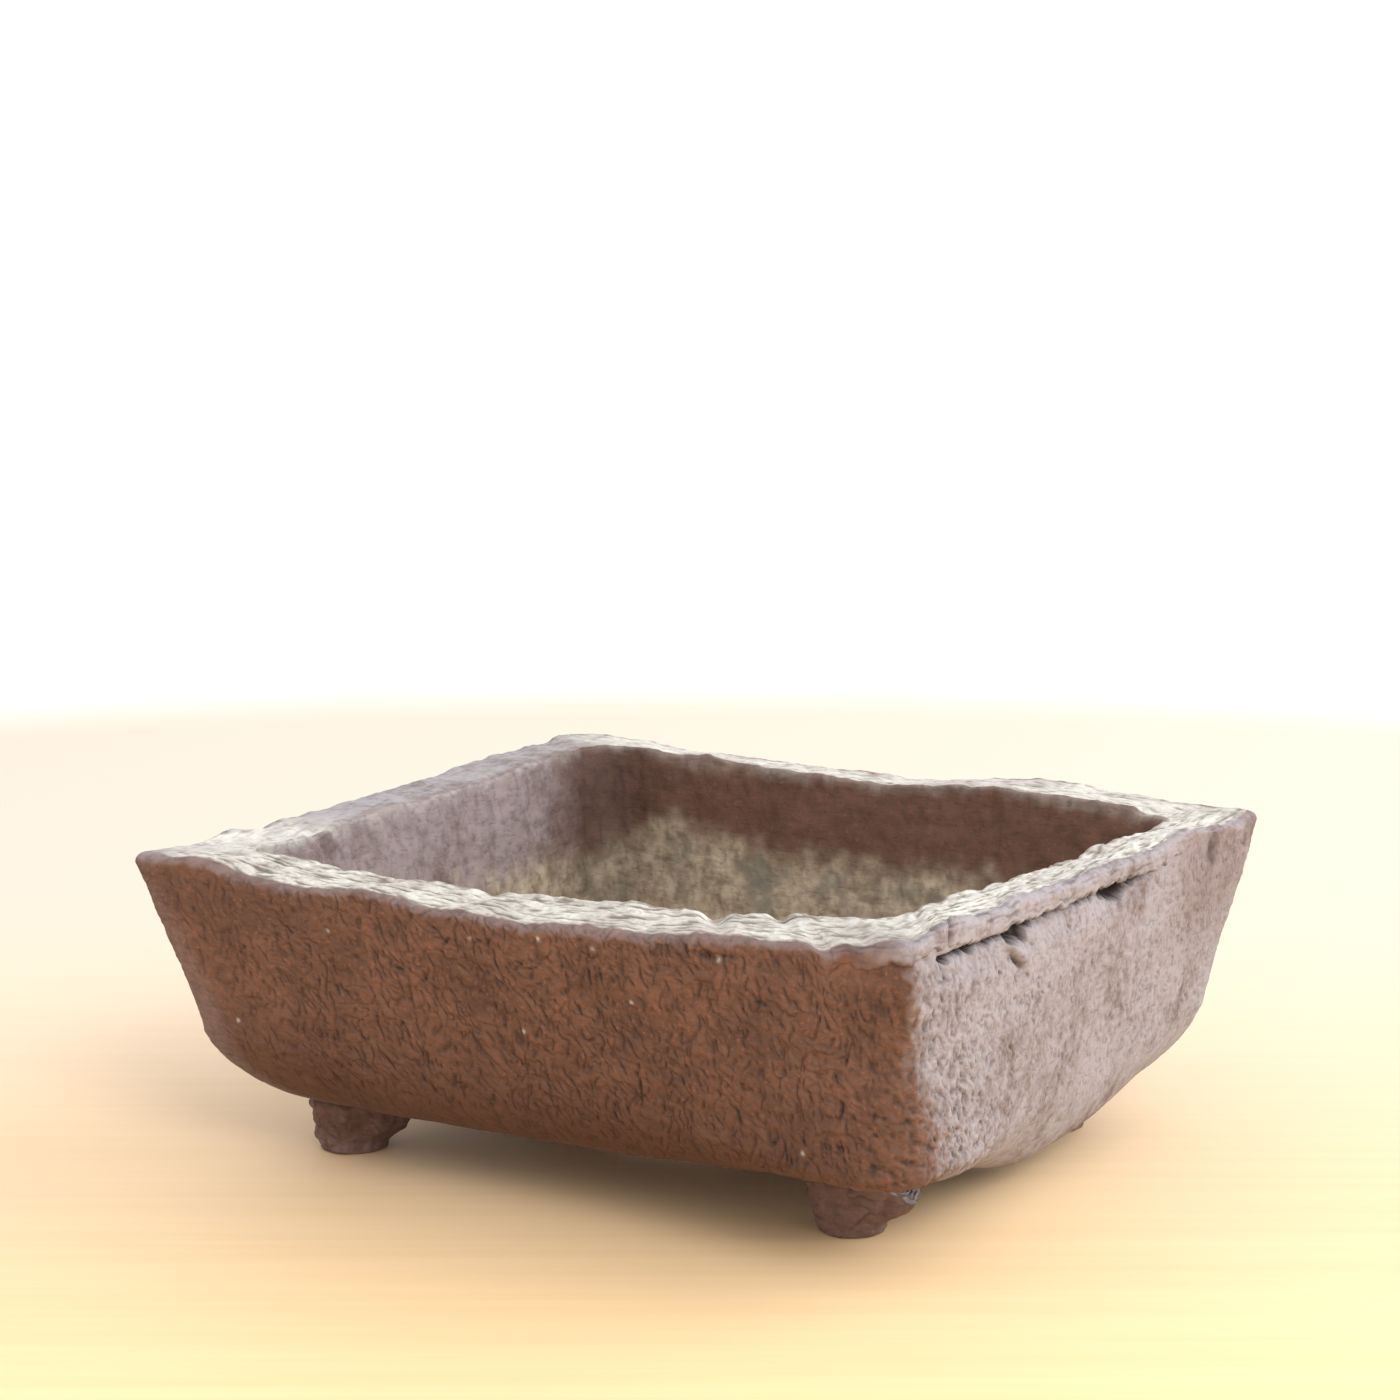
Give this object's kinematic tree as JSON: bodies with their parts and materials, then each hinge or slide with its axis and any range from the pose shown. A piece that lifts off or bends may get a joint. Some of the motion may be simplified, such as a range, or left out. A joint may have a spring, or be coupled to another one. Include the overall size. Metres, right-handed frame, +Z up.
{
  "type": "bonsai pot",
  "caption": "Small handmade rectangular stoneware bonsai pot: leaning slab walls that turn under, a flat floor with a drain hole and lump feet.",
  "frame": {"origin": "on the ground under the middle of the rim's rectangle", "axes": "+Z up, +X along the longer rim to the right, -Y towards the front wall"},
  "size_m": [0.1, 0.09, 0.0392],
  "materials": {
    "dark_clay": "unglazed, rough, finely wrinkled",
    "rim_clay": "unglazed, smoothed, dusted pale",
    "stained_clay": "unglazed, with old soil and mineral stain",
    "foot_clay": "unglazed, torn and pressed"
  },
  "bodies": {
    "root": {"floor_slab": "stained_clay", "front_wall": "dark_clay", "right_wall": "dark_clay", "back_wall": "dark_clay", "left_wall": "dark_clay", "right_rim_strip": "rim_clay", "corner_cap": "rim_clay", "foot_front_left": "foot_clay", "foot_front_right": "foot_clay", "foot_back_left": "foot_clay", "foot_back_right": "foot_clay"}
  },
  "joints": []
}
